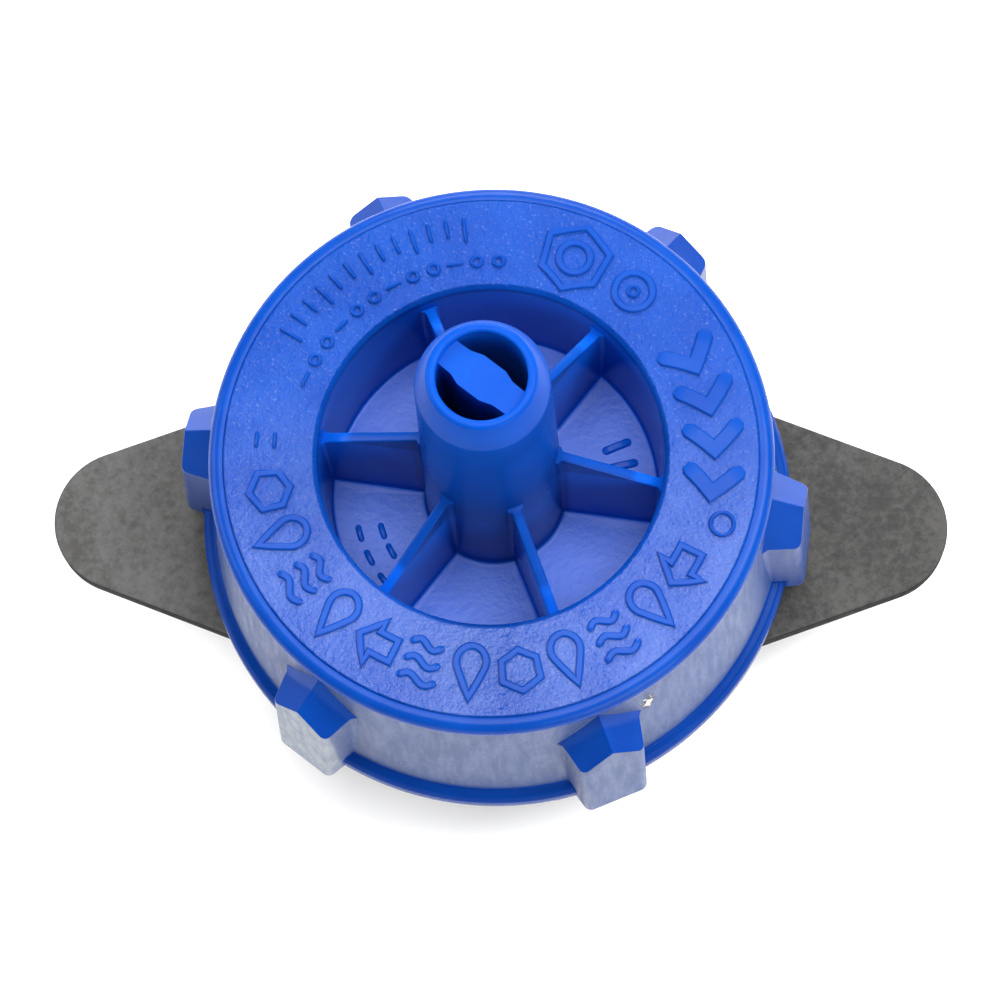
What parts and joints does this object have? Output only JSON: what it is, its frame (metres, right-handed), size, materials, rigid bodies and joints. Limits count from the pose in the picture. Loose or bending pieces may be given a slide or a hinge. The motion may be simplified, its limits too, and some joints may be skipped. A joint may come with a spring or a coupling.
{
  "type": "drip emitter",
  "caption": "Take-apart online drip emitter: a lugged screw cap with a ribbed outlet nozzle on a winged base with a barbed inlet.",
  "frame": {"origin": "on the emitter's axis, in the plane of the base's underside that seats on the lateral pipe", "axes": "+Z along the axis towards the outlet nozzle, X along the two wings"},
  "size_m": [0.0374, 0.0242, 0.0274],
  "materials": {
    "cap_plastic": "satin moulded blue plastic with a fine sparkle texture on the top face",
    "base_plastic": "matt charcoal plastic, slightly mottled",
    "disc_plastic": "satin grey plastic",
    "strainer_plastic": "natural white plastic",
    "seal_rubber": "matt black rubber"
  },
  "bodies": {
    "base": {"base_body": "base_plastic", "inlet_strainer": "strainer_plastic"},
    "insert": {"labyrinth_disc": "disc_plastic"},
    "cap": {"cap": "cap_plastic", "seal_ring": "seal_rubber"}
  },
  "joints": [
    {"name": "insert_rise", "type": "slide", "parent": "base", "child": "insert", "axis": [0, 0, 1], "range_m": [0, 0.009]},
    {"name": "cap_turn", "type": "hinge", "parent": "insert", "child": "cap", "pos_m": [0, 0, 0], "axis": [0, 0, 1], "range_deg": [0, 360]}
  ],
  "couplings": [
    {"joint": "insert_rise", "follows": "cap_turn", "m_per_rad": 0.0014324}
  ]
}
